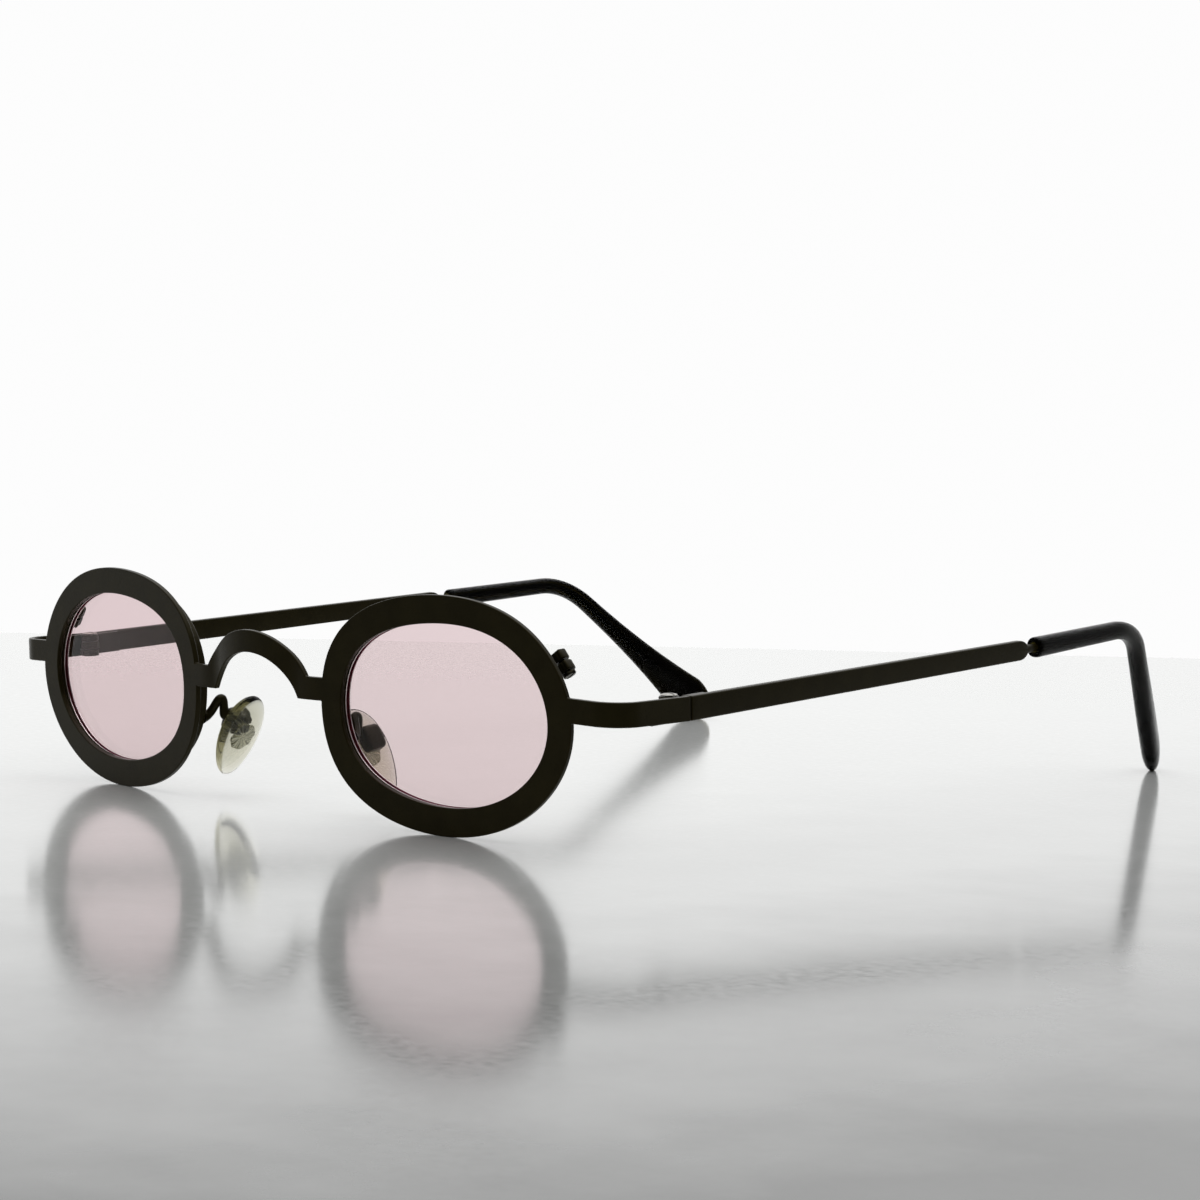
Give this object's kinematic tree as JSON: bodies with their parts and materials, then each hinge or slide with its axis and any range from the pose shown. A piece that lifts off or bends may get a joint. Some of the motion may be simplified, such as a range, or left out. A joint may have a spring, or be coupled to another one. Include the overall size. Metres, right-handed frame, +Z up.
{
  "type": "sunglasses",
  "caption": "Oval metal sunglasses with wide flat rings, arched bridge, pale tinted lenses, adjustable nose pads and folding temples with plastic tips.",
  "frame": {"origin": "centre of the footprint on the table, with the temples open", "axes": "+Z up, +X to the wearer's left, +Y from the lenses to the temple tips"},
  "size_m": [0.124, 0.1498, 0.0314],
  "materials": {
    "painted_black": "matt black lacquer",
    "steel": "satin",
    "tinted_lens": "polished",
    "tip_plastic": "polished",
    "pad_clear": "polished",
    "pad_insert": "satin"
  },
  "bodies": {
    "front": {"front_frame": "painted_black", "eyewire_left": "painted_black", "eyewire_right": "painted_black", "lens_left": "tinted_lens", "lens_right": "tinted_lens", "closing_block_upper_left": "painted_black", "closing_block_upper_right": "painted_black", "closing_block_lower_left": "painted_black", "closing_block_lower_right": "painted_black", "closing_screw_left": "painted_black", "closing_screw_right": "painted_black", "hinge_leaf_front_left": "painted_black", "hinge_leaf_front_right": "painted_black", "hinge_screw_left": "steel", "hinge_screw_right": "steel", "pad_arm_left": "painted_black", "pad_arm_right": "painted_black", "pad_box_left": "painted_black", "pad_box_right": "painted_black", "pad_screw_left": "steel", "pad_screw_right": "steel"},
    "temple_left_body": {"hinge_leaf_temple_left": "painted_black", "temple_left": "painted_black", "temple_tip_left": "tip_plastic"},
    "nose_pad_left_body": {"nose_pad_left": "pad_clear", "pad_mount_left": "pad_insert"},
    "temple_right_body": {"hinge_leaf_temple_right": "painted_black", "temple_right": "painted_black", "temple_tip_right": "tip_plastic"},
    "nose_pad_right_body": {"nose_pad_right": "pad_clear", "pad_mount_right": "pad_insert"}
  },
  "joints": [
    {"name": "temple_left_fold", "type": "hinge", "parent": "front", "child": "temple_left_body", "pos_m": [0.0589, -0.05497, 0.01797], "axis": [0, -0.0565, 0.9984], "range_deg": [0, 91]},
    {"name": "temple_right_fold", "type": "hinge", "parent": "front", "child": "temple_right_body", "pos_m": [-0.0589, -0.05497, 0.01797], "axis": [0, 0.0565, -0.9984], "range_deg": [0, 87]},
    {"name": "nose_pad_left_rock", "type": "hinge", "parent": "front", "child": "nose_pad_left_body", "pos_m": [0.01436, -0.06453, 0.01084], "axis": [0.0006, 0.9921, 0.1251], "range_deg": [-8, 8]},
    {"name": "nose_pad_right_rock", "type": "hinge", "parent": "front", "child": "nose_pad_right_body", "pos_m": [-0.01436, -0.06453, 0.01084], "axis": [0.0006, -0.9921, -0.1251], "range_deg": [-8, 8]}
  ]
}
